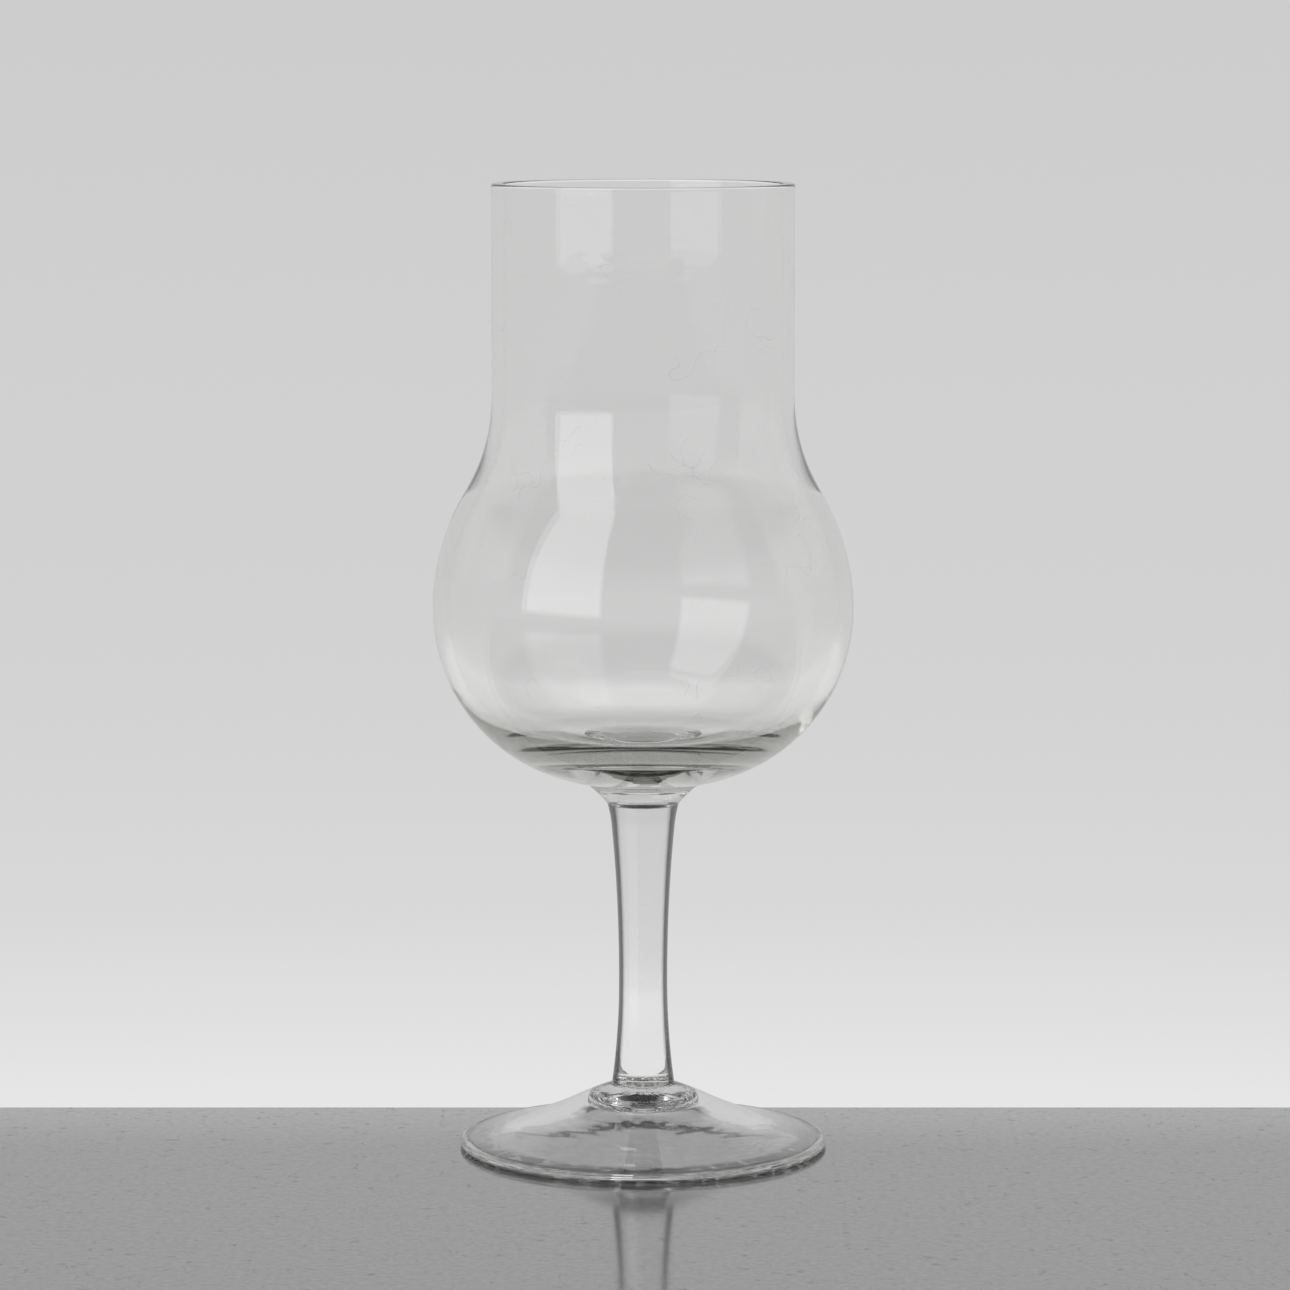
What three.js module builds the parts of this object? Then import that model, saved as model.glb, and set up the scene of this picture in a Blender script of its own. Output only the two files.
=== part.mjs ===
import * as THREE from 'three';

// A stemmed wine tasting glass: an onion-shaped bowl with a straight chimney, a solid drawn stem and a
// thin flared foot. It is made as a glass shop makes it, from five gathers of clear glass that are
// fused hot in a row: foot, foot button, stem, bowl collar and bowl.
// All sizes are millimetres, +Z is up, and the origin is the centre of the ring that the foot rests on.
// Each piece is drawn as an outline of (radius, height), with height measured from its own base.

// Foot: a spun disc that flares up to the button, hollow underneath, with a thin rounded rim
const FOOT_RADIUS = 29.6;
const RIM_THICKNESS = 1.5;
const RIM_UPPER_ROUNDING = 1.4;
const RIM_LOWER_ROUNDING = 0.7;
const REST_RING_WIDTH = 1.2;
const FLARE_TOP_RADIUS = 11.5;
const FLARE_TOP_HEIGHT = 7.35;
const FLARE_SWEEP = 69;
const HOLLOW_SWEEP = 97;
const HOLLOW_CROWN_RADIUS = 8;
const HOLLOW_CROWN_FILLET = 5.5;
const SOCKET_FLOOR_THICKNESS = 0.7;

// Foot button: the gather that joins the stem to the foot, sunk in a socket of the foot
const BUTTON_RADIUS = 7.9;
const BUTTON_HEIGHT = 3.5;
const BUTTON_TOP_HEIGHT = 10.1;
const BUTTON_EDGE_FILLET = 0.9;

// Stem: waisted, wider at both ends
const STEM_LENGTH = 45.6;
const STEM_BASE_RADIUS = 5.05;
const STEM_BASE_FILLET = 0.4;
const STEM_WAIST_RADIUS = 3.9;
const STEM_WAIST_HEIGHT = 16.3;
const STEM_LOWER_SWEEP = 115;
const STEM_UPPER_SWEEP = 255;
const STEM_FLARE_HEIGHT = 3.2;
const STEM_FLARE_START_RADIUS = 5.1;
const STEM_FLARE_SWEEP = 25;
const STEM_TOP_RADIUS = 5.7;

// Bowl collar: the gather under the bowl
const COLLAR_RADIUS = 9.6;
const COLLAR_HEIGHT = 3.35;
const COLLAR_SWEEP = 16;
const COLLAR_SEAM_FILLET = 0.25;

// Bowl: belly, shoulder, neck and chimney, each one arc or straight that runs smoothly into the next
const BULB_RADIUS = 33.65;
const BULB_WALL = 2.4;
const BELLY_FLAT_RADIUS = 5.45;
const BOWL_FLOOR_THICKNESS = 7.2;
const FLOOR_FLAT_RADIUS = 15;
const SHOULDER_SWEEP = 36.2;
const NECK_SWEEP = 28.92;
const CHIMNEY_RADIUS = 24.1;
const CHIMNEY_WALL = 1.95;
const CHIMNEY_LENGTH = 33.8;

// The belly and the neck, as they follow from these sizes
const BELLY_SWEEP = BULB_RADIUS - BELLY_FLAT_RADIUS;
const NECK_REACH = CHIMNEY_RADIUS + NECK_SWEEP - (BULB_RADIUS - SHOULDER_SWEEP);
const NECK_RISE = Math.sqrt((SHOULDER_SWEEP + NECK_SWEEP) ** 2 - NECK_REACH ** 2);

// Where each piece stands on the one below it
const BUTTON_BASE = BUTTON_TOP_HEIGHT - BUTTON_HEIGHT;
const COLLAR_BASE = BUTTON_TOP_HEIGHT + STEM_LENGTH;
const BOWL_BASE = COLLAR_BASE + COLLAR_HEIGHT;

// Smoothness: facets round the axis, how far a chord may leave its arc, and when two points are one
const FACETS = 60;
const CHORD_ERROR = 0.05;
const SAME_POINT = 0.001;

const DOWN = -Math.PI / 2;
const UP = Math.PI / 2;
const OUT = 0;
const IN = Math.PI;

const point = (radius, height) => new THREE.Vector2(radius, height);
const raised = (points, height) => points.map((p) => point(p.x, p.y + height));

// Part of an ellipse in as many chords as its size needs.
function ellipseArc(centre, width, height, startAngle, endAngle) {
  const chordAngle = 2 * Math.acos(1 - CHORD_ERROR / Math.max(width, height));
  const chords = Math.ceil(Math.abs(endAngle - startAngle) / chordAngle);
  const clockwise = endAngle < startAngle;
  const curve = new THREE.EllipseCurve(centre.x, centre.y, width, height, startAngle, endAngle, clockwise);
  return curve.getPoints(chords);
}

function arc(centre, radius, startAngle, endAngle) {
  return ellipseArc(centre, radius, radius, startAngle, endAngle);
}

// The centre of a long-radius sweep between two points, on the right hand of the way from start to end.
function sweepCentre(start, end, radius) {
  const chord = end.clone().sub(start);
  const rise = Math.sqrt(radius ** 2 - chord.lengthSq() / 4);
  const rightward = point(chord.y, -chord.x).setLength(rise);
  return start.clone().add(end).multiplyScalar(0.5).add(rightward);
}

// The arc of such a sweep: an outline that climbs is hollow towards the outside.
function hollowSweep(start, end, radius) {
  const centre = sweepCentre(start, end, radius);
  const startAngle = start.clone().sub(centre).angle();
  const endAngle = end.clone().sub(centre).angle();
  return arc(centre, radius, startAngle, endAngle);
}

// A corner of an outline, rounded off by an arc that is tangent to both of its sides.
function rounded(before, corner, after, radius) {
  const back = before.clone().sub(corner).normalize();
  const onward = after.clone().sub(corner).normalize();
  const half = back.angleTo(onward) / 2;
  const centre = back.clone().add(onward).setLength(radius / Math.sin(half)).add(corner);
  const start = back.clone().multiplyScalar(radius / Math.tan(half)).add(corner);
  const end = onward.clone().multiplyScalar(radius / Math.tan(half)).add(corner);
  const startAngle = start.sub(centre).angle();
  const turn = Math.PI - 2 * half;
  const leftTurn = back.cross(onward) < 0;
  return arc(centre, radius, startAngle, startAngle + (leftTurn ? turn : -turn)).slice(0, -1).concat(end);
}

// A full round edge, in two quarters so that its outermost point is on the outline.
function roundEdge(centre, radius, startAngle) {
  const middle = startAngle + Math.PI / 2;
  return outline(arc(centre, radius, startAngle, middle), arc(centre, radius, middle, startAngle + Math.PI));
}

// One outline from its stretches, without the points that neighbouring stretches share.
function outline(...stretches) {
  const apart = (p, i, all) => i === 0 || p.distanceTo(all[i - 1]) > SAME_POINT;
  return stretches.flat().filter(apart);
}

// A solid turned from an outline that starts and ends on the axis, standing on its base.
function turned(points) {
  return new THREE.LatheGeometry(points, FACETS).rotateX(UP);
}

// The bowl's side, outside or inside the wall, from an angle on the belly's arc up to the chimney.
function bowlSide(bulbRadius, chimneyRadius, bellyWidth, bellyDepth, shoulderSweep, bellyStart) {
  const belly = point(bulbRadius - bellyWidth, BELLY_SWEEP);
  const shoulder = point(bulbRadius - shoulderSweep, BELLY_SWEEP);
  const reach = chimneyRadius - shoulder.x;
  const neckSweep = (reach ** 2 + NECK_RISE ** 2 - shoulderSweep ** 2) / (2 * (shoulderSweep - reach));
  const neck = point(chimneyRadius + neckSweep, BELLY_SWEEP + NECK_RISE);
  const meeting = Math.atan2(NECK_RISE, reach + neckSweep);
  return outline(
    ellipseArc(belly, bellyWidth, bellyDepth, bellyStart, OUT),
    arc(shoulder, shoulderSweep, OUT, meeting),
    arc(neck, neckSweep, IN + meeting, IN),
  );
}

// Where the collar's edge lies on the belly's arc, as an angle about that arc's centre.
function collarSeatAngle() {
  return -Math.acos((COLLAR_RADIUS - BELLY_FLAT_RADIUS) / BELLY_SWEEP);
}

// The underside of the bowl that the collar is fused to, from the axis outwards.
function collarSeat() {
  const belly = point(BELLY_FLAT_RADIUS, BELLY_SWEEP);
  return outline(point(0, 0), arc(belly, BELLY_SWEEP, DOWN, collarSeatAngle()));
}

function bowlGeometry() {
  const lipRadius = CHIMNEY_WALL / 2;
  const lipHeight = BELLY_SWEEP + NECK_RISE + CHIMNEY_LENGTH - lipRadius;
  const outside = bowlSide(
    BULB_RADIUS,
    CHIMNEY_RADIUS,
    BELLY_SWEEP,
    BELLY_SWEEP,
    SHOULDER_SWEEP,
    collarSeatAngle(),
  );
  const inside = bowlSide(
    BULB_RADIUS - BULB_WALL,
    CHIMNEY_RADIUS - CHIMNEY_WALL,
    BULB_RADIUS - BULB_WALL - FLOOR_FLAT_RADIUS,
    BELLY_SWEEP - BOWL_FLOOR_THICKNESS,
    SHOULDER_SWEEP - BULB_WALL,
    DOWN,
  );
  return turned(outline(
    collarSeat(),
    outside,
    roundEdge(point(CHIMNEY_RADIUS - lipRadius, lipHeight), lipRadius, OUT),
    inside.reverse(),
    point(0, BOWL_FLOOR_THICKNESS),
  ));
}

function collarGeometry() {
  const seat = raised(collarSeat(), COLLAR_HEIGHT);
  const seamEdge = point(STEM_TOP_RADIUS, 0);
  const side = hollowSweep(seamEdge, seat.at(-1), COLLAR_SWEEP);
  return turned(outline(
    point(0, 0),
    rounded(point(0, 0), seamEdge, side[1], COLLAR_SEAM_FILLET),
    side.slice(1),
    seat.reverse(),
  ));
}

function stemGeometry() {
  const base = point(STEM_BASE_RADIUS, 0);
  const waist = point(STEM_WAIST_RADIUS, STEM_WAIST_HEIGHT);
  const flare = point(STEM_FLARE_START_RADIUS, STEM_LENGTH - STEM_FLARE_HEIGHT);
  const top = point(STEM_TOP_RADIUS, STEM_LENGTH);
  const lower = hollowSweep(base, waist, STEM_LOWER_SWEEP);
  return turned(outline(
    point(0, 0),
    rounded(point(0, 0), base, lower[1], STEM_BASE_FILLET),
    lower.slice(1),
    hollowSweep(waist, flare, STEM_UPPER_SWEEP),
    hollowSweep(flare, top, STEM_FLARE_SWEEP),
    point(0, STEM_LENGTH),
  ));
}

// The top corner of the foot's rim, where the flare starts to climb.
function rimCorner() {
  return point(FOOT_RADIUS - RIM_UPPER_ROUNDING, RIM_THICKNESS);
}

// The crown is the round top that button and foot share. It falls from the stem into the foot's flare,
// and this is the stretch of it between two radii.
function crownArc(startRadius, endRadius) {
  const flareTop = point(FLARE_TOP_RADIUS, FLARE_TOP_HEIGHT);
  const chord = point(STEM_BASE_RADIUS, BUTTON_TOP_HEIGHT).sub(flareTop);
  const inward = flareTop.clone().sub(sweepCentre(rimCorner(), flareTop, FLARE_SWEEP)).normalize();
  const radius = chord.lengthSq() / (2 * chord.dot(inward));
  const centre = inward.multiplyScalar(radius).add(flareTop);
  const angleAt = (r) => Math.acos((r - centre.x) / radius);
  return arc(centre, radius, angleAt(startRadius), angleAt(endRadius));
}

// The face between button and foot, from the axis outwards and up to the crown.
function buttonSeat() {
  const middle = point(0, 0);
  const edge = point(BUTTON_RADIUS, 0);
  const top = point(BUTTON_RADIUS, crownArc(BUTTON_RADIUS, STEM_BASE_RADIUS)[0].y - BUTTON_BASE);
  return outline(middle, rounded(middle, edge, top, BUTTON_EDGE_FILLET), top);
}

function buttonGeometry() {
  return turned(outline(
    buttonSeat(),
    raised(crownArc(BUTTON_RADIUS, STEM_BASE_RADIUS), -BUTTON_BASE),
    point(0, BUTTON_HEIGHT),
  ));
}

function footGeometry() {
  const restOutside = point(FOOT_RADIUS - RIM_LOWER_ROUNDING, 0);
  const restInside = point(restOutside.x - REST_RING_WIDTH, 0);
  const hollowHeight = BUTTON_BASE - SOCKET_FLOOR_THICKNESS;
  const hollowCentre = point(0, hollowHeight);
  const hollowCorner = point(HOLLOW_CROWN_RADIUS, hollowHeight);
  const underside = hollowSweep(restInside, hollowCorner, HOLLOW_SWEEP).reverse();
  const hollow = rounded(hollowCentre, hollowCorner, underside[1], HOLLOW_CROWN_FILLET);
  const corner = rimCorner();
  const upperEdge = point(corner.x, RIM_LOWER_ROUNDING);
  return turned(outline(
    hollowCentre,
    hollow,
    underside.slice(1),
    arc(point(restOutside.x, RIM_LOWER_ROUNDING), RIM_LOWER_ROUNDING, DOWN, OUT),
    ellipseArc(upperEdge, RIM_UPPER_ROUNDING, RIM_THICKNESS - RIM_LOWER_ROUNDING, OUT, UP),
    hollowSweep(corner, point(FLARE_TOP_RADIUS, FLARE_TOP_HEIGHT), FLARE_SWEEP),
    crownArc(FLARE_TOP_RADIUS, BUTTON_RADIUS),
    raised(buttonSeat(), BUTTON_BASE).reverse(),
  ));
}

// Clear soda glass, with the faint grey-green of its thick parts.
function clearGlass() {
  return new THREE.MeshStandardMaterial({
    color: 0xd4d8d2,
    roughness: 0.04,
    metalness: 0,
    transparent: true,
    opacity: 0.35,
  });
}

function piece(name, geometry, baseHeight) {
  const mesh = new THREE.Mesh(geometry, clearGlass());
  mesh.name = name;
  mesh.position.z = baseHeight;
  return mesh;
}

const glass = new THREE.Group();
glass.add(
  piece('foot', footGeometry(), 0),
  piece('foot_button', buttonGeometry(), BUTTON_BASE),
  piece('stem', stemGeometry(), BUTTON_TOP_HEIGHT),
  piece('bowl_collar', collarGeometry(), COLLAR_BASE),
  piece('bowl', bowlGeometry(), BOWL_BASE),
);

export default glass;
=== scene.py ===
import math
import random
from collections import namedtuple

import bmesh
import bpy
from mathutils import Matrix, Vector, noise

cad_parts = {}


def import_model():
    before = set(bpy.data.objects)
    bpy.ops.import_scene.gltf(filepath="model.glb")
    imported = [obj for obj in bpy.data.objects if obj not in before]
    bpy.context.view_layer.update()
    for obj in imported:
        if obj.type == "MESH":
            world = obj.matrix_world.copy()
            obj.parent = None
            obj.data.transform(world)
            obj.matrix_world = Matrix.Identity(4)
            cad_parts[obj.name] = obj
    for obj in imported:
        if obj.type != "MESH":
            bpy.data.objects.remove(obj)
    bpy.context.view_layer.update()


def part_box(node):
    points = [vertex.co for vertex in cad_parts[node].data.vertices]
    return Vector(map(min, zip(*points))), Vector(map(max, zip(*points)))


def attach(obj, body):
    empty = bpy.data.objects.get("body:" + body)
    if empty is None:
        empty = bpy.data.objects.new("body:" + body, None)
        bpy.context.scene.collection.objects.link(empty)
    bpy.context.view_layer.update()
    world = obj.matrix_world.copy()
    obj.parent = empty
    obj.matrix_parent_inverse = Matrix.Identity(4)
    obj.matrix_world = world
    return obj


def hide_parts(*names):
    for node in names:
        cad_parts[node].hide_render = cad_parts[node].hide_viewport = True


# The wine tasting glass, dressed: five fused gathers of clear glass on a grey table before a pale backdrop.
# Outlines are worked out in millimetres of (radius, height) and turned about the Z axis into metres.

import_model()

MM = 0.001


def lowest(node):
    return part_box(node)[0].z / MM


def highest(node):
    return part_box(node)[1].z / MM


def widest(node):
    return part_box(node)[1].x / MM


# Foot, in mm
FOOT_RADIUS = widest("foot")
FLARE_TOP_RADIUS = 11.5
FLARE_TOP_HEIGHT = 7.35
FLARE_SWEEP = 69.0
RIM_THICKNESS = 1.5
RIM_UPPER_ROUNDING = 1.4
RIM_LOWER_ROUNDING = 0.7
REST_RING_WIDTH = 1.2
HOLLOW_HEIGHT = 5.9
HOLLOW_CROWN_RADIUS = 8.0
HOLLOW_CROWN_FILLET = 5.5
HOLLOW_SWEEP = 97.0

# Foot button, in mm
BUTTON_BASE = lowest("foot_button")
BUTTON_RADIUS = widest("foot_button")
BUTTON_EDGE_FILLET = 0.9
SEAM_HEIGHT = 1.7
SEAM_WIDTH = 0.25
SEAM_FILLET = 0.3

# Stem, in mm
STEM_BASE = lowest("stem")
STEM_BASE_RADIUS = 5.05
STEM_BASE_FILLET = 0.4
STEM_WAIST_RADIUS = 3.9
STEM_WAIST_HEIGHT = 16.3
STEM_LOWER_SWEEP = 115.0
STEM_UPPER_SWEEP = 255.0
STEM_FLARE_HEIGHT = 3.2
STEM_FLARE_START_RADIUS = 5.1
STEM_FLARE_SWEEP = 25.0
STEM_TOP_RADIUS = widest("stem")

# Bowl collar, in mm
COLLAR_BASE = lowest("bowl_collar")
COLLAR_RADIUS = widest("bowl_collar")
COLLAR_SWEEP = 16.0
COLLAR_SEAM_FILLET = 0.25

# Bowl, in mm
BOWL_BASE = lowest("bowl")
LIP_HEIGHT = highest("bowl")
BULB_RADIUS = widest("bowl")
BULB_WALL = 2.4
BELLY_FLAT_RADIUS = 5.45
BOWL_FLOOR_THICKNESS = 7.2
FLOOR_FLAT_RADIUS = 15.0
SHOULDER_SWEEP = 36.2
NECK_SWEEP = 28.92
CHIMNEY_RADIUS = 24.1
CHIMNEY_WALL = 1.95
LIP_EDGE_ROUNDING = 0.4

# Films of air where two gathers are fused only in the middle of their joint, in mm
FILM_THICKNESS = 0.04
STEM_FUSED_RADIUS = 3.0
COLLAR_FILM_RADIUS = 7.3

BELLY_SWEEP = BULB_RADIUS - BELLY_FLAT_RADIUS
EQUATOR = BOWL_BASE + BELLY_SWEEP
NECK_REACH = CHIMNEY_RADIUS + NECK_SWEEP - (BULB_RADIUS - SHOULDER_SWEEP)
NECK_RISE = math.sqrt((SHOULDER_SWEEP + NECK_SWEEP) ** 2 - NECK_REACH ** 2)

# Waves of the hand-made surface, in mm: slow ones everywhere, and rings that follow the turning. The breaks
# are a plain number: the more of them, the more often a ring's height changes on its way round.
WAVE_HEIGHT = 0.012
WAVE_LENGTH = 7.0
WAVE_FADE = 1.5
REST_FADE = 0.4
RING_SPACING = 0.9
RING_BREAKS = 6.0
FOOT_RING_HEIGHT = 0.009
BOWL_RING_HEIGHT = 0.002
STEM_RING_HEIGHT = 0.007

# Air bubbles in the button, with radii, the glass under them and their spread in mm
BUBBLES = 34
BUBBLE_SEED = 5
SMALLEST_BUBBLE = 0.1
LARGEST_BUBBLE = 0.28
BUBBLE_WALL = 0.1
BUBBLE_SPREAD = 0.9
BUBBLE_SUBDIVISIONS = 2

# Mesh fineness, with lengths in mm
TURN_STEPS = 360
LONGEST_CHORD = 0.5
LARGEST_CHORD_ANGLE = math.radians(9)
SAME_POINT = 0.0001
SHARP_ANGLE = math.radians(35)

# Directions in an outline, and elevations in the world
DOWN, UP, OUT, IN = -math.pi / 2, math.pi / 2, 0.0, math.pi


# Outlines: each runs once round the half section of a piece, in tagged stretches. Glass is an open face, joint
# is fused to a neighbour, and seam lies along the trapped air.

def point(radius, height):
    return Vector((radius, height))


def straight(start, end):
    steps = max(1, math.ceil((end - start).length / LONGEST_CHORD))
    return [start.lerp(end, i / steps) for i in range(steps + 1)]


def arc(centre, radius, start_angle, end_angle):
    turn = end_angle - start_angle
    steps = math.ceil(max(abs(turn) * radius / LONGEST_CHORD, abs(turn) / LARGEST_CHORD_ANGLE))
    angles = [start_angle + turn * i / steps for i in range(steps + 1)]
    return [centre + radius * Vector((math.cos(a), math.sin(a))) for a in angles]


def bearing(centre, place):
    """The angle of a place about a centre, from 0 to a full turn."""
    away = place - centre
    return math.atan2(away.y, away.x) % math.tau


def sweep_centre(start, end, radius):
    """The centre of a long-radius sweep between two points, to the right of the way from start to end."""
    chord = end - start
    rise = math.sqrt(radius ** 2 - chord.length_squared / 4)
    return (start + end) / 2 + Vector((chord.y, -chord.x)).normalized() * rise


def hollow_sweep(start, end, radius):
    """A long-radius arc between two points: an outline that climbs is hollow towards the outside."""
    centre = sweep_centre(start, end, radius)
    return arc(centre, radius, bearing(centre, start), bearing(centre, end))


def rounded(before, corner, after, radius):
    """A corner rounded off by an arc that is tangent to both of its sides."""
    back = (before - corner).normalized()
    onward = (after - corner).normalized()
    half = back.angle(onward) / 2
    centre = corner + (back + onward).normalized() * radius / math.sin(half)
    start = corner + back * radius / math.tan(half)
    turn = math.pi - 2 * half
    left_turn = back.cross(onward) < 0
    first = bearing(centre, start)
    return arc(centre, radius, first, first + (turn if left_turn else -turn))


def joined(*stretches):
    """One line through the stretches, with straights between them where they don't meet."""
    line = [stretches[0][0]]
    for place in (p for stretch in stretches for p in stretch):
        if (place - line[-1]).length > SAME_POINT:
            line += straight(line[-1], place)[1:]
    return line


def split_face(face, radius):
    """A joint face from the axis outwards, cut in two at a radius."""
    inside = [p for p in face if p.x < radius - SAME_POINT]
    outside = [p for p in face if p.x > radius + SAME_POINT]
    cut = inside[-1].lerp(outside[0], (radius - inside[-1].x) / (outside[0].x - inside[-1].x))
    return inside + [cut], [cut] + outside


def lowered(stretch, gap):
    return [p - point(0, gap) for p in stretch]


def collar_seat():
    """The face between bowl and collar, from the axis outwards."""
    belly = point(BELLY_FLAT_RADIUS, EQUATOR)
    edge = -math.acos((COLLAR_RADIUS - BELLY_FLAT_RADIUS) / BELLY_SWEEP)
    return joined([point(0, BOWL_BASE)], arc(belly, BELLY_SWEEP, DOWN, edge))


def bowl_side(bulb_radius, chimney_radius, belly_width, belly_depth, shoulder_sweep, belly_start):
    """One side of the bowl's wall up to its chimney: belly, shoulder and neck, each tangent to the next."""
    belly = point(bulb_radius - belly_width, EQUATOR)
    lower = [
        point(belly.x + (p.x - belly.x) * belly_width / belly_depth, p.y)
        for p in arc(belly, belly_depth, belly_start, OUT)
    ]
    shoulder = point(bulb_radius - shoulder_sweep, EQUATOR)
    reach = chimney_radius - shoulder.x
    neck_sweep = (reach ** 2 + NECK_RISE ** 2 - shoulder_sweep ** 2) / (2 * (shoulder_sweep - reach))
    neck = point(chimney_radius + neck_sweep, EQUATOR + NECK_RISE)
    meeting = math.atan2(NECK_RISE, reach + neck_sweep)
    return joined(
        lower,
        arc(shoulder, shoulder_sweep, OUT, meeting),
        arc(neck, neck_sweep, IN + meeting, IN),
    )


def bowl_outline():
    seat = collar_seat()
    seat_edge = bearing(point(BELLY_FLAT_RADIUS, EQUATOR), seat[-1]) - math.tau
    outside = bowl_side(BULB_RADIUS, CHIMNEY_RADIUS, BELLY_SWEEP, BELLY_SWEEP, SHOULDER_SWEEP, seat_edge)
    inside = bowl_side(
        BULB_RADIUS - BULB_WALL,
        CHIMNEY_RADIUS - CHIMNEY_WALL,
        BULB_RADIUS - BULB_WALL - FLOOR_FLAT_RADIUS,
        BELLY_SWEEP - BOWL_FLOOR_THICKNESS,
        SHOULDER_SWEEP - BULB_WALL,
        DOWN,
    )
    lip_outside = point(CHIMNEY_RADIUS - LIP_EDGE_ROUNDING, LIP_HEIGHT - LIP_EDGE_ROUNDING)
    lip_inside = point(CHIMNEY_RADIUS - CHIMNEY_WALL + LIP_EDGE_ROUNDING, lip_outside.y)
    lip = joined(arc(lip_outside, LIP_EDGE_ROUNDING, OUT, UP), arc(lip_inside, LIP_EDGE_ROUNDING, UP, IN))
    floor = point(0, BOWL_BASE + BOWL_FLOOR_THICKNESS)
    over_film, fused = split_face(seat, COLLAR_FILM_RADIUS)
    return [
        ("seam", over_film),
        ("joint", fused),
        ("glass", joined(seat[-1:], outside, lip, inside[::-1], [floor])),
    ]


def collar_outline():
    seat = collar_seat()
    seam = point(STEM_TOP_RADIUS, COLLAR_BASE)
    side = hollow_sweep(seam, seat[-1], COLLAR_SWEEP)
    middle = point(0, COLLAR_BASE)
    edge = rounded(middle, seam, side[1], COLLAR_SEAM_FILLET)
    stem_fused, over_film = split_face(joined([middle], edge[:1]), STEM_FUSED_RADIUS)
    under_film, bowl_fused = split_face(seat, COLLAR_FILM_RADIUS)
    film_floor = lowered(under_film, FILM_THICKNESS)
    return [
        ("joint", stem_fused),
        ("seam", over_film),
        ("glass", joined(edge, side[1:])),
        ("joint", bowl_fused[::-1]),
        ("seam", joined(bowl_fused[:1], film_floor[::-1])),
    ]


def stem_outline():
    base = point(STEM_BASE_RADIUS, STEM_BASE)
    waist = point(STEM_WAIST_RADIUS, STEM_BASE + STEM_WAIST_HEIGHT)
    flare = point(STEM_FLARE_START_RADIUS, COLLAR_BASE - STEM_FLARE_HEIGHT)
    top = point(STEM_TOP_RADIUS, COLLAR_BASE)
    waisted = hollow_sweep(base, waist, STEM_LOWER_SWEEP)
    edge = rounded(point(0, STEM_BASE), base, waisted[1], STEM_BASE_FILLET)
    upper = hollow_sweep(waist, flare, STEM_UPPER_SWEEP)
    upper_flare = hollow_sweep(flare, top, STEM_FLARE_SWEEP)
    fused, under_film = split_face(joined([point(0, COLLAR_BASE)], [top]), STEM_FUSED_RADIUS)
    film_floor = lowered(under_film, FILM_THICKNESS)
    return [
        ("joint", joined([point(0, STEM_BASE)], edge[:1])),
        ("glass", joined(edge, waisted[1:], upper, upper_flare[:-1], film_floor[-1:])),
        ("seam", joined(film_floor[::-1], fused[-1:])),
        ("joint", fused[::-1]),
    ]


def rim_corner():
    """The top corner of the foot's rim, where the flare starts to climb."""
    return point(FOOT_RADIUS - RIM_UPPER_ROUNDING, RIM_THICKNESS)


def crown_arc(start_radius, end_radius):
    """A stretch of the round top that button and foot share, from the stem down into the foot's flare."""
    flare_top = point(FLARE_TOP_RADIUS, FLARE_TOP_HEIGHT)
    chord = point(STEM_BASE_RADIUS, STEM_BASE) - flare_top
    inward = (flare_top - sweep_centre(rim_corner(), flare_top, FLARE_SWEEP)).normalized()
    radius = chord.length_squared / (2 * chord.dot(inward))
    centre = flare_top + inward * radius
    angles = [math.acos((r - centre.x) / radius) for r in (start_radius, end_radius)]
    return arc(centre, radius, *angles)


def button_outline():
    """The button, kept off the foot by a ring of trapped air round its lower edge and part of its side."""
    middle = point(0, BUTTON_BASE)
    edge = point(BUTTON_RADIUS, BUTTON_BASE)
    seam_top = point(BUTTON_RADIUS, BUTTON_BASE + SEAM_HEIGHT)
    lower_edge = rounded(middle, edge, seam_top, BUTTON_EDGE_FILLET)
    shoulder = crown_arc(BUTTON_RADIUS, STEM_BASE_RADIUS)
    return [
        ("joint", joined([middle], lower_edge[:1])),
        ("seam", joined(lower_edge, [seam_top])),
        ("joint", joined([seam_top], shoulder[:1])),
        ("glass", shoulder),
        ("joint", joined(shoulder[-1:], [point(0, STEM_BASE)])),
    ]


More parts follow.
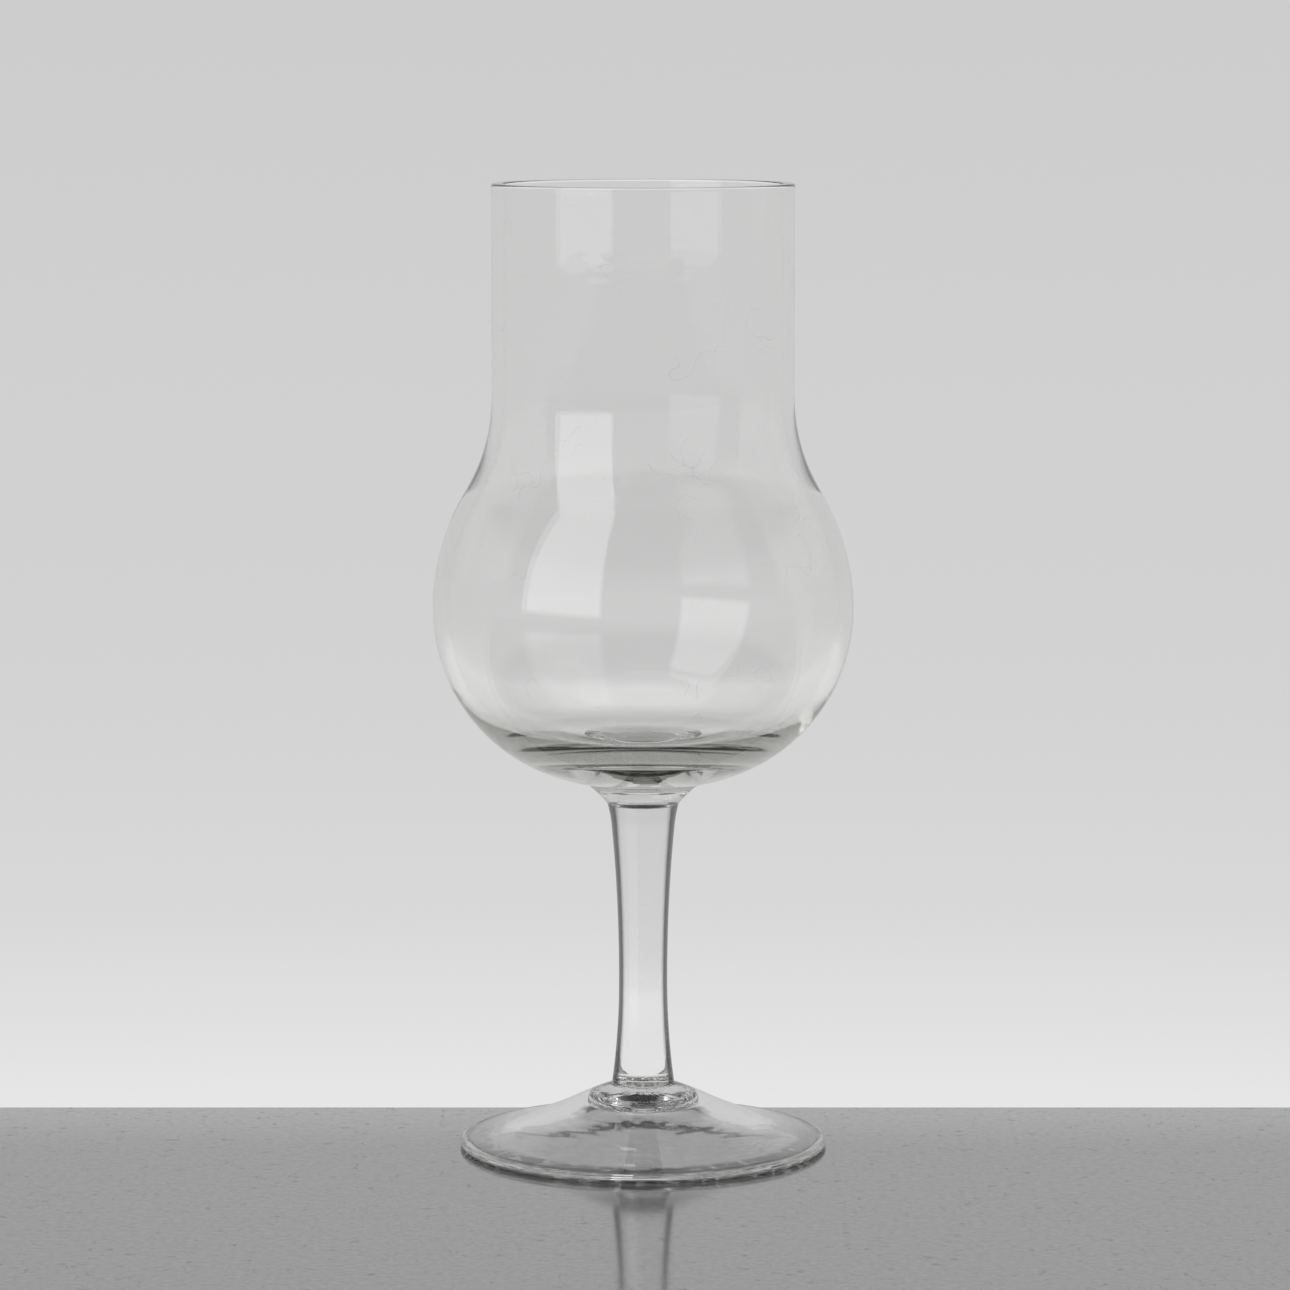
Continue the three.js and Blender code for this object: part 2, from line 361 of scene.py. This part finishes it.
def foot_outline():
    rest_outside = point(FOOT_RADIUS - RIM_LOWER_ROUNDING, 0)
    rest_inside = point(rest_outside.x - REST_RING_WIDTH, 0)
    hollow_middle = point(0, HOLLOW_HEIGHT)
    hollow_corner = point(HOLLOW_CROWN_RADIUS, HOLLOW_HEIGHT)
    underside = hollow_sweep(rest_inside, hollow_corner, HOLLOW_SWEEP)[::-1]
    hollow = rounded(hollow_middle, hollow_corner, underside[1], HOLLOW_CROWN_FILLET)
    below = [p for p in underside if p.x > hollow[-1].x + SAME_POINT]
    lower_edge = arc(point(rest_outside.x, RIM_LOWER_ROUNDING), RIM_LOWER_ROUNDING, DOWN, OUT)
    corner = rim_corner()
    flattening = (RIM_THICKNESS - RIM_LOWER_ROUNDING) / RIM_UPPER_ROUNDING
    upper_edge = [
        point(p.x, RIM_LOWER_ROUNDING + p.y * flattening)
        for p in arc(point(corner.x, 0), RIM_UPPER_ROUNDING, OUT, UP)
    ]
    flare = hollow_sweep(corner, point(FLARE_TOP_RADIUS, FLARE_TOP_HEIGHT), FLARE_SWEEP)
    crown = crown_arc(FLARE_TOP_RADIUS, BUTTON_RADIUS)
    seam_top = point(BUTTON_RADIUS, BUTTON_BASE + SEAM_HEIGHT)
    seam_side = point(BUTTON_RADIUS + SEAM_WIDTH, seam_top.y - SEAM_WIDTH)
    seam_corner = point(seam_side.x, BUTTON_BASE)
    seam_end = point(BUTTON_RADIUS - BUTTON_EDGE_FILLET, BUTTON_BASE)
    seam = joined([seam_top], [seam_side], rounded(seam_side, seam_corner, seam_end, SEAM_FILLET), [seam_end])
    return [
        ("glass", joined([hollow_middle], hollow, below, lower_edge, upper_edge, flare, crown)),
        ("joint", joined(crown[-1:], [seam_top])),
        ("seam", seam),
        ("joint", joined([seam_end], [point(0, BUTTON_BASE)])),
    ]


# Meshes

def wave_shares(line, tags):
    """How much of the waves each point of an outline takes: none at a joint or seam, all a little way off."""
    along = [0.0]
    for start, end in zip(line, line[1:]):
        along.append(along[-1] + (end - start).length)
    still = []
    for start, end, tag in zip(along, along[1:], tags):
        if tag != "glass":
            still += [start, end]
    return [min(1.0, min(abs(here - there) for there in still) / WAVE_FADE) for here in along]


def wave(start, turn, outward, share, ring_height):
    """The place of an outline's point on the glass, with the slow and the ringed waves of hand-made glass."""
    away = Vector((math.cos(turn), math.sin(turn)))
    place = Vector((start.x * away.x, start.x * away.y, start.y))
    slow = WAVE_HEIGHT * noise.noise(place / WAVE_LENGTH)
    across = (start.x - start.y) / RING_SPACING
    rings = ring_height * noise.noise(Vector((across, RING_BREAKS * away.x, RING_BREAKS * away.y)))
    moved = outward * (slow + rings) * share * min(1.0, start.y / REST_FADE)
    return Vector((place.x + moved.x * away.x, place.y + moved.x * away.y, place.z + moved.y))


def turned(name, outline, ring_height):
    """A closed mesh turned from an outline of tagged stretches. Its joint faces are marked as fused."""
    line = [outline[0][1][0]]
    tags = []
    for tag, stretch in outline:
        line += stretch[1:]
        tags += [tag] * (len(stretch) - 1)
    befores = line[:1] + line[:-1]
    afters = line[1:] + line[-1:]
    places = []
    rings = []
    for before, here, after, share in zip(befores, line, afters, wave_shares(line, tags)):
        outward = Vector((after.y - before.y, before.x - after.x)).normalized()
        steps = 1 if here.x < SAME_POINT else TURN_STEPS
        turns = [math.tau * step / steps for step in range(steps)]
        rings.append(range(len(places), len(places) + steps))
        places += [wave(here, turn, outward, share, ring_height) * MM for turn in turns]
    faces = []
    fused = []
    for low, high, tag in zip(rings, rings[1:], tags):
        for i in range(TURN_STEPS):
            j = i + 1
            corners = [low[i % len(low)], low[j % len(low)], high[j % len(high)], high[i % len(high)]]
            faces.append([corner for k, corner in enumerate(corners) if corner != corners[k - 1]])
            fused.append(float(tag == "joint"))
    mesh = bpy.data.meshes.new(name)
    mesh.from_pydata(places, [], faces)
    mesh.attributes.new("fused", "FLOAT", "FACE").data.foreach_set("value", fused)
    mesh.shade_smooth()
    mesh.set_sharp_from_angle(angle=SHARP_ANGLE)
    piece = bpy.data.objects.new(name, mesh)
    bpy.context.scene.collection.objects.link(piece)
    return piece


def add_bubbles(piece):
    """Round air bubbles, scattered in the glass along the lower edge of the button."""
    draw = random.Random(BUBBLE_SEED)
    build = bmesh.new()
    build.from_mesh(piece.data)
    fused = build.faces.layers.float["fused"]
    for i in range(BUBBLES):
        turn = math.tau * (i + draw.random()) / BUBBLES
        radius = draw.uniform(SMALLEST_BUBBLE, LARGEST_BUBBLE)
        away = BUTTON_RADIUS - BUTTON_EDGE_FILLET - draw.random() * BUBBLE_SPREAD
        height = BUTTON_BASE + radius + BUBBLE_WALL + draw.random() * BUBBLE_SPREAD
        place = Vector((away * math.cos(turn), away * math.sin(turn), height)) * MM
        made = bmesh.ops.create_icosphere(
            build,
            subdivisions=BUBBLE_SUBDIVISIONS,
            radius=radius * MM,
            matrix=Matrix.Translation(place),
        )
        walls = {face for corner in made["verts"] for face in corner.link_faces}
        for wall in walls:
            wall[fused] = 0.0
            wall.smooth = True
        bmesh.ops.reverse_faces(build, faces=list(walls))
    build.to_mesh(piece.data)
    build.free()


# Nodes

def linear(tone):
    """The linear value of an 8-bit sRGB tone."""
    share = tone / 255
    return share / 12.92 if share <= 0.04045 else ((share + 0.055) / 1.055) ** 2.4


def grey(tone):
    return (linear(tone), linear(tone), linear(tone), 1)


def new_material(name):
    material = bpy.data.materials.new(name)
    material.use_nodes = True
    material.node_tree.nodes.clear()
    return material, material.node_tree.nodes, material.node_tree.links


def feed(links, value, socket):
    """Gives a socket its value: another node's output, or a plain number or colour."""
    if isinstance(value, bpy.types.NodeSocket):
        links.new(value, socket)
    else:
        socket.default_value = value


def calculated(nodes, links, operation, *values):
    """What a Math node makes of one or two values."""
    step = nodes.new("ShaderNodeMath")
    step.operation = operation
    for value, socket in zip(values, step.inputs):
        feed(links, value, socket)
    return step.outputs[0]


def product(nodes, links, first, *others):
    result = first
    for other in others:
        result = calculated(nodes, links, "MULTIPLY", result, other)
    return result


def mapped(nodes, links, value, start, end, from_share=0.0, to_share=1.0):
    """A value in the range from start to end, carried over smoothly to a share."""
    reach = nodes.new("ShaderNodeMapRange")
    reach.interpolation_type = "SMOOTHSTEP"
    reach.inputs["From Min"].default_value = start
    reach.inputs["From Max"].default_value = end
    reach.inputs["To Min"].default_value = from_share
    reach.inputs["To Max"].default_value = to_share
    links.new(value, reach.inputs["Value"])
    return reach.outputs[0]


def mixed(nodes, links, factor, below, above, kind="MIX"):
    """One colour over another."""
    mix = nodes.new("ShaderNodeMix")
    mix.data_type = "RGBA"
    mix.blend_type = kind
    for value, name in ((factor, "Factor"), (below, "A"), (above, "B")):
        feed(links, value, mix.inputs[name])
    return mix.outputs["Result"]


def either(nodes, links, share, one, other):
    """One shader where the share is 0, and the other where it is 1."""
    mix = nodes.new("ShaderNodeMixShader")
    for output, socket in zip((share, one, other), mix.inputs):
        links.new(output, socket)
    return mix.outputs[0]


def coordinates(nodes, links, place):
    """The X, Y and Z of a place, by name."""
    split = nodes.new("ShaderNodeSeparateXYZ")
    links.new(place, split.inputs[0])
    return split.outputs


def cloudy(nodes, links, place, scale, detail):
    """A noise between 0 and 1."""
    field = nodes.new("ShaderNodeTexNoise")
    field.inputs["Scale"].default_value = scale
    field.inputs["Detail"].default_value = detail
    links.new(place, field.inputs["Vector"])
    return field.outputs["Fac"]


# Hairline scratches: a noise's detail, and shares of its range and of its scale
NOISE_MIDDLE_SHARE = 0.5
SCRATCH_DETAIL = 1.0
SCRATCH_LENGTH_SHARE = 0.8
SCRATCH_FADE_SHARE = 0.04


def scratches(nodes, links, place, scale, width_share, bare_share):
    """A noise's contour lines, broken off where a coarser noise stays under the bare share."""
    fine = cloudy(nodes, links, place, scale, SCRATCH_DETAIL)
    coarse = cloudy(nodes, links, place, scale * SCRATCH_LENGTH_SHARE, SCRATCH_DETAIL)
    off_middle = calculated(nodes, links, "SUBTRACT", fine, NOISE_MIDDLE_SHARE)
    away = calculated(nodes, links, "ABSOLUTE", off_middle)
    line = mapped(nodes, links, away, 0.0, width_share, 1.0, 0.0)
    kept = mapped(nodes, links, coarse, bare_share, bare_share + SCRATCH_FADE_SHARE)
    return product(nodes, links, line, kept)


# Glass, with its absorption per metre. The bowl's is higher, because its thick base looks darker.
GLASS_IOR = 1.51
OLIVE = (0.765, 0.77, 0.745)
GLASS_DENSITY = 9.0
BOWL_DENSITY = 50.0

# Marks of use on the glass: scales per metre, and shares of a noise's or a cell's range
GLASS_SCRATCH_SCALE = 110.0
GLASS_SCRATCH_SHARE = 0.0014
GLASS_BARE_SHARE = 0.58
SPECK_SCALE = 260.0
SPECK_SIZE_SHARE = 0.05
SPECK_BARE_SHARE = 0.8
MARK_ROUGHNESS = 0.35
MARK_LIGHTNESS = 0.62

# Painted shade round the foot's lowest edge, where it stands on the table, its height in metres
CONTACT_SHADE_HEIGHT = 0.0008
CONTACT_SHADE_SCALE = 500.0
CONTACT_SHADE_DETAIL = 2.0
CONTACT_SHADE_SPAN_SHARES = (0.3, 0.5)
CONTACT_SHADE_LIGHTNESS = 0.12

# Painted shade on the glass: how dark a slanting face is painted, where the glass bends light from far to the
# side towards
# the eye: from what share of the slant, at what share in full, and how light it then still is
EdgeShade = namedtuple("EdgeShade", "start full lightness")
STEM_EDGE_SHADE = EdgeShade(0.3, 0.5, 0.03)
FOOT_EDGE_SHADE = EdgeShade(0.8, 1.0, 0.8)
BUTTON_EDGE_SHADE = EdgeShade(0.55, 0.95, 0.3)
COLLAR_EDGE_SHADE = EdgeShade(0.6, 0.9, 0.3)
BOWL_EDGE_SHADE = EdgeShade(0.8, 1.0, 0.9)


def specks(nodes, links, place):
    """Small round marks of grit and dried water, one in some of the cells of a Voronoi pattern."""
    cells = nodes.new("ShaderNodeTexVoronoi")
    cells.inputs["Scale"].default_value = SPECK_SCALE
    links.new(place, cells.inputs["Vector"])
    dot = mapped(nodes, links, cells.outputs["Distance"], 0.0, SPECK_SIZE_SHARE, 1.0, 0.0)
    chosen = calculated(nodes, links, "GREATER_THAN", cells.outputs["Color"], SPECK_BARE_SHARE)
    return product(nodes, links, dot, chosen)


def painted_contact_shade(nodes, links, place):
    """How light the glass is painted round the foot's lowest edge, where it stands on the table: painted
    shade, in patches.
    """
    height = coordinates(nodes, links, place)["Z"]
    # Painted shade, standing in for the foot's contact shadow and its dark reflection in the table
    near_table = mapped(nodes, links, height, CONTACT_SHADE_HEIGHT / 2, CONTACT_SHADE_HEIGHT, 1.0, 0.0)
    patches = cloudy(nodes, links, place, CONTACT_SHADE_SCALE, CONTACT_SHADE_DETAIL)
    patchy = mapped(nodes, links, patches, *CONTACT_SHADE_SPAN_SHARES)
    shaded = product(nodes, links, near_table, patchy)
    return mapped(nodes, links, shaded, 0.0, 1.0, 1.0, CONTACT_SHADE_LIGHTNESS)


def clear_glass(name, density, edge):
    """Glass that is clear on its open faces and isn't there on the faces that are fused to a neighbour."""
    material, nodes, links = new_material(name)
    output = nodes.new("ShaderNodeOutputMaterial")
    glass = nodes.new("ShaderNodeBsdfPrincipled")
    glass.inputs["IOR"].default_value = GLASS_IOR
    glass.inputs["Transmission Weight"].default_value = 1.0
    links.new(glass.outputs["BSDF"], output.inputs["Surface"])

    fused = nodes.new("ShaderNodeAttribute")
    fused.attribute_name = "fused"
    open_face = calculated(nodes, links, "SUBTRACT", 1.0, fused.outputs["Fac"])
    links.new(open_face, glass.inputs["Alpha"])

    place = nodes.new("ShaderNodeTexCoord").outputs["Object"]
    hairs = scratches(nodes, links, place, GLASS_SCRATCH_SCALE, GLASS_SCRATCH_SHARE, GLASS_BARE_SHARE)
    marks = calculated(nodes, links, "MAXIMUM", hairs, specks(nodes, links, place))
    roughness = mapped(nodes, links, marks, 0.0, 1.0, 0.0, MARK_ROUGHNESS)
    links.new(roughness, glass.inputs["Roughness"])

    slant = nodes.new("ShaderNodeLayerWeight").outputs["Facing"]
    # Painted shade: the glass's colour is painted darker where a face slants away from the eye
    rim = mapped(nodes, links, slant, edge.start, edge.full, 1.0, edge.lightness)
    dulled = mapped(nodes, links, marks, 0.0, 1.0, 1.0, MARK_LIGHTNESS)
    lightness = product(nodes, links, rim, dulled, painted_contact_shade(nodes, links, place))
    links.new(lightness, glass.inputs["Base Color"])

    absorbing = nodes.new("ShaderNodeVolumeAbsorption")
    absorbing.inputs["Color"].default_value = (*OLIVE, 1)
    absorbing.inputs["Density"].default_value = density
    links.new(absorbing.outputs["Volume"], output.inputs["Volume"])
    return material


# Table, in metres, with its tones in 8-bit sRGB and its scales per metre
TABLE_BACK_EDGE = 0.0282
TABLE_HALF_WIDTH = 1.6
TABLE_DEPTH = 3.0
TABLE_THICKNESS = 0.03
# A hair of air, so that light in the foot's rim meets the rim's own face before the table.
TABLE_GAP = 0.00003
TABLE_TONE = 165
# Painted reflection: the top is painted paler towards its back edge, where the backdrop mirrors in it at a
# grazing angle
TABLE_PAINTED_SHEEN_TONE = 190
TABLE_PAINTED_SHEEN_STRIP = 0.035
TABLE_METAL_SHARE = 0.8
TABLE_ROUGHNESS = 0.1
TABLE_MOTTLING_SCALE = 900.0
TABLE_MOTTLING_DETAIL = 4.0
TABLE_MOTTLING_SHARE = 0.5
TABLE_SCRATCH_SCALE = 330.0
TABLE_SCRATCH_SHARE = 0.012
TABLE_BARE_SHARE = 0.45
TABLE_SCRATCH_TONE = 112
TABLE_SCRATCH_STRENGTH = 0.8


def table_material():
    """A satin grey top with a painted reflection of the backdrop that makes it paler along its back edge, with
    fine mottling and hairline scratches.
    """
    material, nodes, links = new_material("table_top")
    output = nodes.new("ShaderNodeOutputMaterial")
    top = nodes.new("ShaderNodeBsdfPrincipled")
    top.inputs["Metallic"].default_value = TABLE_METAL_SHARE
    top.inputs["Roughness"].default_value = TABLE_ROUGHNESS
    links.new(top.outputs["BSDF"], output.inputs["Surface"])

    place = nodes.new("ShaderNodeTexCoord").outputs["Object"]
    depth = coordinates(nodes, links, place)["Y"]
    # Painted reflection of the backdrop, paler towards the back edge
    painted_sheen = mapped(nodes, links, depth, TABLE_BACK_EDGE - TABLE_PAINTED_SHEEN_STRIP, TABLE_BACK_EDGE)
    tone = mixed(nodes, links, painted_sheen, grey(TABLE_TONE), grey(TABLE_PAINTED_SHEEN_TONE))
    mottling = cloudy(nodes, links, place, TABLE_MOTTLING_SCALE, TABLE_MOTTLING_DETAIL)
    mottled = mixed(nodes, links, TABLE_MOTTLING_SHARE, tone, mottling, "SOFT_LIGHT")
    lines = scratches(nodes, links, place, TABLE_SCRATCH_SCALE, TABLE_SCRATCH_SHARE, TABLE_BARE_SHARE)
    strength = mapped(nodes, links, lines, 0.0, 1.0, 0.0, TABLE_SCRATCH_STRENGTH)
    scratched = mixed(nodes, links, strength, mottled, grey(TABLE_SCRATCH_TONE))
    links.new(scratched, top.inputs["Base Color"])
    return material


def table():
    near = TABLE_BACK_EDGE - TABLE_DEPTH
    high = -TABLE_GAP
    low = high - TABLE_THICKNESS
    places = [
        (across, depth, height)
        for height in (low, high)
        for across in (-TABLE_HALF_WIDTH, TABLE_HALF_WIDTH)
        for depth in (near, TABLE_BACK_EDGE)
    ]
    faces = [(0, 1, 3, 2), (4, 6, 7, 5), (0, 4, 5, 1), (2, 3, 7, 6), (0, 2, 6, 4), (1, 5, 7, 3)]
    mesh = bpy.data.meshes.new("table")
    mesh.from_pydata(places, [], faces)
    mesh.materials.append(table_material())
    top = bpy.data.objects.new("table", mesh)
    bpy.context.scene.collection.objects.link(top)


# World: the backdrop's tones in 8-bit sRGB by the direction's elevation in degrees, the tone that faces
# mirror, and the strength of the light
BACKDROP_TONES = (
    (-90, 150),
    (-40, 200),
    (-20, 231),
    (-12, 231),
    (-10.8, 223),
    (-9.7, 216),
    (-7.5, 211),
    (-4, 208),
    (0, 205),
    (20, 205),
    (28, 55),
    (60, 55),
    (62, 215),
    (90, 215),
)
MIRRORED_TONE = 205
LIGHTING_STRENGTH = 0.8


def elevation_share(elevation):
    """Where an elevation in radians lies on the way from straight down to straight up."""
    return (elevation - DOWN) / (UP - DOWN)


def tone_by_elevation(nodes, links):
    """A colour ramp that runs from straight down to straight up, whatever the direction's azimuth."""
    direction = nodes.new("ShaderNodeTexCoord").outputs["Generated"]
    climb = coordinates(nodes, links, direction)["Z"]
    share = nodes.new("ShaderNodeMapRange")
    share.inputs["From Min"].default_value = DOWN
    share.inputs["From Max"].default_value = UP
    links.new(calculated(nodes, links, "ARCSINE", climb), share.inputs["Value"])
    ramp = nodes.new("ShaderNodeValToRGB")
    links.new(share.outputs[0], ramp.inputs[0])
    elevations, tones = zip(*BACKDROP_TONES)
    stops = ramp.color_ramp.elements
    for degrees in elevations[1:-1]:
        stops.new(elevation_share(math.radians(degrees)))
    for stop, tone in zip(stops, tones):
        stop.color = grey(tone)
    return ramp.outputs[0]


def world():
    """The backdrop for what the camera sees, also through glass, a plain tone to mirror, and even light."""
    sky = bpy.data.worlds.new("studio")
    sky.use_nodes = True
    nodes, links = sky.node_tree.nodes, sky.node_tree.links
    nodes.clear()
    output = nodes.new("ShaderNodeOutputWorld")
    seen = nodes.new("ShaderNodeBackground")
    links.new(tone_by_elevation(nodes, links), seen.inputs["Color"])
    mirrored = nodes.new("ShaderNodeBackground")
    mirrored.inputs["Color"].default_value = grey(MIRRORED_TONE)
    lighting = nodes.new("ShaderNodeBackground")
    lighting.inputs["Strength"].default_value = LIGHTING_STRENGTH
    path = nodes.new("ShaderNodeLightPath").outputs
    looked_at = calculated(nodes, links, "MAXIMUM", path["Is Camera Ray"], path["Is Transmission Ray"])
    seen_directly = calculated(nodes, links, "GREATER_THAN", looked_at, path["Diffuse Depth"])
    indirect = either(nodes, links, path["Is Glossy Ray"], lighting.outputs[0], mirrored.outputs[0])
    light = either(nodes, links, seen_directly, indirect, seen.outputs[0])
    links.new(light, output.inputs["Surface"])
    bpy.context.scene.world = sky


# Window, to the left of the camera and in metres, with its radiance: the glazing, and a dimmer sill under it
WINDOW_TURN = math.radians(-46)
WINDOW_DISTANCE = 1.2
WINDOW_WIDTH = 1.0
GLAZING_TOP = 1.9
GLAZING_BASE = 0.12
GLAZING_RADIANCE = 1.5
SILL_BASE = 0.086
SILL_RADIANCE = 0.8


def window(name, low, high, radiance):
    """A stretch of a tall window between two heights. It shows only where it's mirrored."""
    lamp = bpy.data.lights.new(name, "AREA")
    lamp.shape = "RECTANGLE"
    lamp.size = WINDOW_WIDTH
    lamp.size_y = high - low
    lamp.energy = radiance * math.pi * lamp.size * lamp.size_y
    lamp.use_nodes = True
    nodes, links = lamp.node_tree.nodes, lamp.node_tree.links
    path = nodes.new("ShaderNodeLightPath").outputs
    mirrored = calculated(nodes, links, "MINIMUM", path["Glossy Depth"], 1.0)
    links.new(mirrored, nodes["Emission"].inputs["Strength"])
    holder = bpy.data.objects.new(name, lamp)
    across = WINDOW_DISTANCE * math.sin(WINDOW_TURN)
    nearer = -WINDOW_DISTANCE * math.cos(WINDOW_TURN)
    holder.location = (across, nearer, (low + high) / 2)
    holder.rotation_euler = (math.pi / 2, 0, WINDOW_TURN)
    holder.visible_camera = False
    bpy.context.scene.collection.objects.link(holder)


# Camera, in metres, with its lens and sensor in mm
CAMERA_FOCAL = 143.8
CAMERA_SENSOR = 36.0
CAMERA_PLACE = (0.0003, -0.8189, 0.1800)
CAMERA_PITCH = math.radians(6.87)


def camera():
    lens = bpy.data.cameras.new("camera")
    lens.sensor_width = CAMERA_SENSOR
    lens.lens = CAMERA_FOCAL
    holder = bpy.data.objects.new("camera", lens)
    holder.location = CAMERA_PLACE
    holder.rotation_euler = (math.pi / 2 - CAMERA_PITCH, 0, 0)
    bpy.context.scene.collection.objects.link(holder)
    bpy.context.scene.camera = holder


def dress(node, outline, ring_height, density, edge):
    """A gather of glass turned from its outline, in place of the solid of that name."""
    piece = turned(node + "_glass", outline, ring_height)
    piece.data.materials.append(clear_glass(node + "_clear", density, edge))
    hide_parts(node)
    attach(piece, "root")
    return piece


camera()
table()
world()
window("window", GLAZING_BASE, GLAZING_TOP, GLAZING_RADIANCE)
window("window_sill", SILL_BASE, GLAZING_BASE, SILL_RADIANCE)
dress("foot", foot_outline(), FOOT_RING_HEIGHT, GLASS_DENSITY, FOOT_EDGE_SHADE)
button = dress("foot_button", button_outline(), STEM_RING_HEIGHT, GLASS_DENSITY, BUTTON_EDGE_SHADE)
add_bubbles(button)
dress("stem", stem_outline(), STEM_RING_HEIGHT, GLASS_DENSITY, STEM_EDGE_SHADE)
dress("bowl_collar", collar_outline(), STEM_RING_HEIGHT, GLASS_DENSITY, COLLAR_EDGE_SHADE)
dress("bowl", bowl_outline(), BOWL_RING_HEIGHT, BOWL_DENSITY, BOWL_EDGE_SHADE)

bpy.context.scene.view_settings.view_transform = "Standard"
# Light turns many times inside thick glass before it leaves it, and would be cut off and come out black.
MOST_TURNS_OF_LIGHT = 48
for kind in ("max_bounces", "glossy_bounces", "transmission_bounces", "transparent_max_bounces"):
    setattr(bpy.context.scene.cycles, kind, MOST_TURNS_OF_LIGHT)
